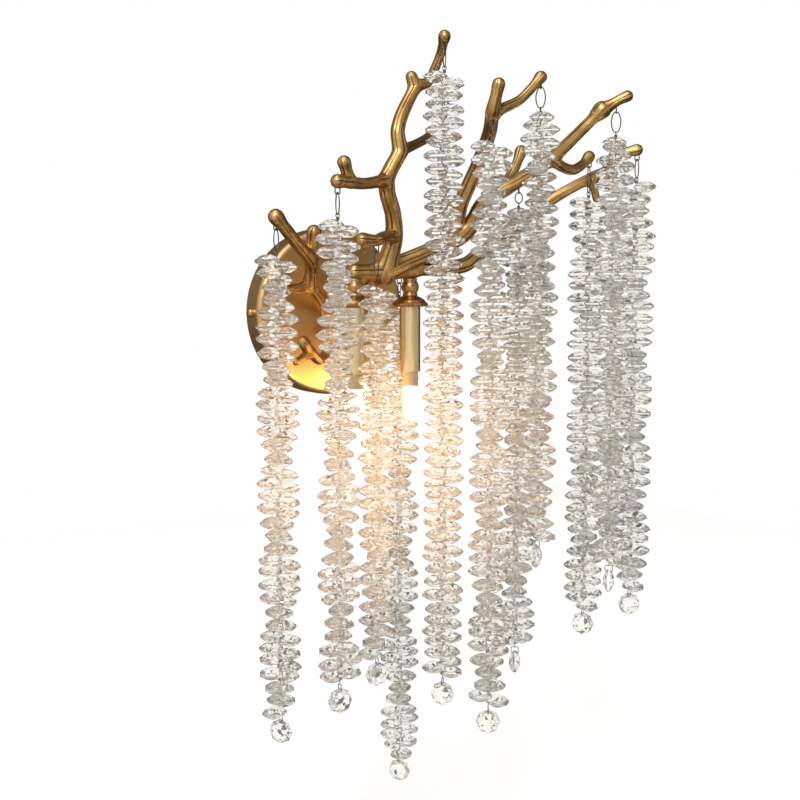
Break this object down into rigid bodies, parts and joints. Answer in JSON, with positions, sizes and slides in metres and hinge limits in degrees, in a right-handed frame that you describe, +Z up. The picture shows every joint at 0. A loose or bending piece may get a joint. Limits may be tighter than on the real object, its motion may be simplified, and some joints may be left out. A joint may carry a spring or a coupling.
{
  "type": "branch wall light with glass bead strands",
  "caption": "Wall light shaped as a cast gold branch on a round wall pan, with candle-sleeve lamps pointing down and hanging strands of clear octagonal glass beads.",
  "frame": {"origin": "middle of the round wall pan, on the wall plane, at the cable hole", "axes": "+X to the right as seen from the front, +Y into the wall, +Z up"},
  "size_m": [0.3624, 0.2214, 0.6731],
  "materials": {
    "satin_gold": "satin gold plate",
    "cast_gold": "antique gold on a grooved casting",
    "turned_gold": "antique gold, turned",
    "brass_screws": "polished",
    "zinc_steel": "zinc plated",
    "steel_wire": "darkened drawn wire",
    "bead_glass": "clear cut glass",
    "lit_glass": "clear, lit",
    "bulb_ceramic": "unglazed",
    "socket_ceramic": "unglazed",
    "terminal_plastic": "moulded",
    "lead_insulation": "smooth sleeve"
  },
  "bodies": {
    "light": {"wall_plate": "satin_gold", "mounting_bracket": "zinc_steel", "side_screws": "brass_screws", "terminal_block": "terminal_plastic", "lamp_leads": "lead_insulation", "lamp_nipples": "zinc_steel", "lock_nuts": "zinc_steel", "branch_hub": "cast_gold", "left_branch": "cast_gold", "lower_twig": "cast_gold", "main_branch": "cast_gold", "middle_branch": "cast_gold", "upper_right_branch": "cast_gold", "right_branch": "cast_gold", "left_lamp_neck": "turned_gold", "left_lamp_cup": "turned_gold", "left_lamp_sleeve": "satin_gold", "left_lamp_socket": "socket_ceramic", "right_lamp_neck": "turned_gold", "right_lamp_cup": "turned_gold", "right_lamp_sleeve": "satin_gold", "right_lamp_socket": "socket_ceramic", "wire_eyes": "steel_wire"},
    "left_bulb": {"left_bulb_base": "bulb_ceramic", "left_bulb_glass": "lit_glass"},
    "right_bulb": {"right_bulb_base": "bulb_ceramic", "right_bulb_glass": "lit_glass"},
    "strand_1": {"strand_1_link": "steel_wire", "strand_1_wire": "steel_wire", "strand_1_beads": "bead_glass"},
    "strand_2": {"strand_2_link": "steel_wire", "strand_2_wire": "steel_wire", "strand_2_beads": "bead_glass"},
    "strand_3": {"strand_3_link": "steel_wire", "strand_3_wire": "steel_wire", "strand_3_beads": "bead_glass"},
    "strand_4": {"strand_4_link": "steel_wire", "strand_4_wire": "steel_wire", "strand_4_beads": "bead_glass"},
    "strand_5": {"strand_5_link": "steel_wire", "strand_5_wire": "steel_wire", "strand_5_beads": "bead_glass"},
    "strand_6": {"strand_6_link": "steel_wire", "strand_6_wire": "steel_wire", "strand_6_beads": "bead_glass"},
    "strand_7": {"strand_7_link": "steel_wire", "strand_7_wire": "steel_wire", "strand_7_beads": "bead_glass"},
    "strand_8": {"strand_8_link": "steel_wire", "strand_8_wire": "steel_wire", "strand_8_beads": "bead_glass"},
    "strand_9": {"strand_9_link": "steel_wire", "strand_9_wire": "steel_wire", "strand_9_beads": "bead_glass"},
    "strand_10": {"strand_10_link": "steel_wire", "strand_10_wire": "steel_wire", "strand_10_beads": "bead_glass"},
    "strand_11": {"strand_11_link": "steel_wire", "strand_11_wire": "steel_wire", "strand_11_beads": "bead_glass"}
  },
  "joints": [
    {"name": "left_bulb_pull", "type": "slide", "parent": "light", "child": "left_bulb", "axis": [0, 0, -1], "range_m": [0, 0.012]},
    {"name": "right_bulb_pull", "type": "slide", "parent": "light", "child": "right_bulb", "axis": [0, 0, -1], "range_m": [0, 0.012]},
    {"name": "strand_1_swing", "type": "hinge", "parent": "light", "child": "strand_1", "pos_m": [-0.102, -0.11, 0.06942], "axis": [-0.5736, 0.8192, 0], "range_deg": [-3, 3]},
    {"name": "strand_2_swing", "type": "hinge", "parent": "light", "child": "strand_2", "pos_m": [-0.077, -0.165, 0.0963], "axis": [-0.9848, 0.1736, 0], "range_deg": [-3, 3]},
    {"name": "strand_3_swing", "type": "hinge", "parent": "light", "child": "strand_3", "pos_m": [-0.027, -0.1415, 0.0518], "axis": [-0.9848, 0.1736, 0], "range_deg": [-3, 3]},
    {"name": "strand_4_swing", "type": "hinge", "parent": "light", "child": "strand_4", "pos_m": [0.05, -0.057, 0.02542], "axis": [-0.5736, 0.8192, 0], "range_deg": [-3, 3]},
    {"name": "strand_5_swing", "type": "hinge", "parent": "light", "child": "strand_5", "pos_m": [0.036, -0.147, 0.21974], "axis": [-0.6428, 0.766, 0], "range_deg": [-3, 3]},
    {"name": "strand_6_swing", "type": "hinge", "parent": "light", "child": "strand_6", "pos_m": [0.054, -0.189, 0.15364], "axis": [-0.8192, 0.5736, 0], "range_deg": [-3, 3]},
    {"name": "strand_7_swing", "type": "hinge", "parent": "light", "child": "strand_7", "pos_m": [0.118, -0.143, 0.10354], "axis": [-0.7071, -0.7071, 0], "range_deg": [-3, 3]},
    {"name": "strand_8_swing", "type": "hinge", "parent": "light", "child": "strand_8", "pos_m": [0.103, -0.19, 0.18674], "axis": [0.788, 0.6157, 0], "range_deg": [-3, 3]},
    {"name": "strand_9_swing", "type": "hinge", "parent": "light", "child": "strand_9", "pos_m": [0.19, -0.152, 0.12863], "axis": [-0.5446, 0.8387, 0], "range_deg": [-3, 3]},
    {"name": "strand_10_swing", "type": "hinge", "parent": "light", "child": "strand_10", "pos_m": [0.173, -0.205, 0.16964], "axis": [-0.7071, -0.7071, 0], "range_deg": [-3, 3]},
    {"name": "strand_11_swing", "type": "hinge", "parent": "light", "child": "strand_11", "pos_m": [0.226, -0.175, 0.13474], "axis": [0.9397, -0.342, 0], "range_deg": [-3, 3]}
  ]
}
